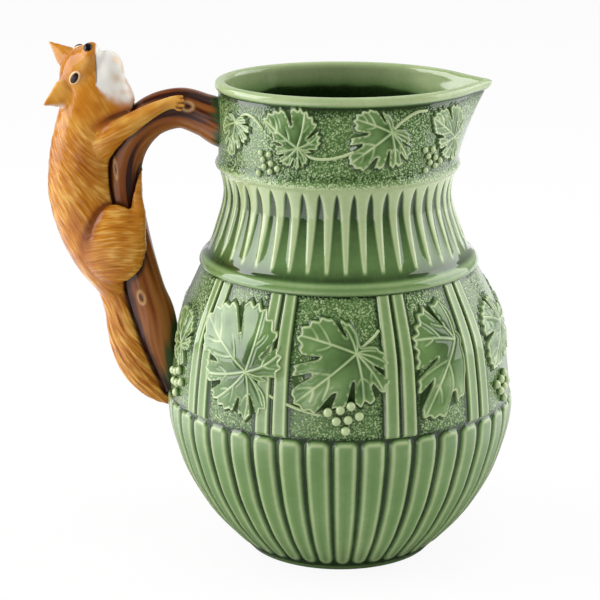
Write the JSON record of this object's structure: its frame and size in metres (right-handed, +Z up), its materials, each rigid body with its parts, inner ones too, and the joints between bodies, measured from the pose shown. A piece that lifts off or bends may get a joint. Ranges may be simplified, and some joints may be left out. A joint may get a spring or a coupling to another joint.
{
  "type": "pitcher",
  "caption": "Glazed earthenware pitcher with a fluted belly, vine relief and a pouring lip. A fox climbs its branch-shaped handle. It holds and pours drinks.",
  "frame": {"origin": "centre of the foot, on the table", "axes": "+Z up, +X towards the pouring lip, -X towards the handle, -Y the side that the fox's face turns to"},
  "size_m": [0.2219, 0.1701, 0.2464],
  "materials": {
    "body_glaze": "glossy translucent green glaze, darker in the recesses",
    "sprig_glaze": "glossy green glaze, thin and pale on the raised relief",
    "bark_glaze": "glossy streaked brown glaze",
    "fox_glaze": "glossy painted ochre glaze with darker strokes"
  },
  "bodies": {
    "root": {"jug_body": "body_glaze", "handle_branch": "bark_glaze", "fox_torso": "fox_glaze", "fox_head": "fox_glaze", "fox_ear_near": "fox_glaze", "fox_ear_far": "fox_glaze", "fox_foreleg_near": "fox_glaze", "fox_foreleg_far": "fox_glaze", "fox_hindleg_near": "fox_glaze", "fox_hindleg_far": "fox_glaze", "fox_tail": "fox_glaze", "belly_leaf_near_1": "sprig_glaze", "belly_leaf_near_2": "sprig_glaze", "belly_leaf_near_3": "sprig_glaze", "belly_leaf_near_4": "sprig_glaze", "belly_leaf_near_5": "sprig_glaze", "belly_leaf_far_1": "sprig_glaze", "belly_leaf_far_2": "sprig_glaze", "belly_leaf_far_3": "sprig_glaze", "belly_leaf_far_4": "sprig_glaze", "belly_leaf_far_5": "sprig_glaze", "belly_grapes_near_1": "sprig_glaze", "belly_grapes_near_2": "sprig_glaze", "belly_grapes_near_3": "sprig_glaze", "belly_grapes_far_1": "sprig_glaze", "belly_grapes_far_2": "sprig_glaze", "belly_grapes_far_3": "sprig_glaze", "neck_leaf_near_1": "sprig_glaze", "neck_leaf_near_2": "sprig_glaze", "neck_leaf_near_3": "sprig_glaze", "neck_leaf_near_4": "sprig_glaze", "neck_leaf_far_1": "sprig_glaze", "neck_leaf_far_2": "sprig_glaze", "neck_leaf_far_3": "sprig_glaze", "neck_leaf_far_4": "sprig_glaze", "neck_grapes_near_1": "sprig_glaze", "neck_grapes_near_2": "sprig_glaze", "neck_grapes_far_1": "sprig_glaze", "neck_grapes_far_2": "sprig_glaze"}
  },
  "joints": []
}
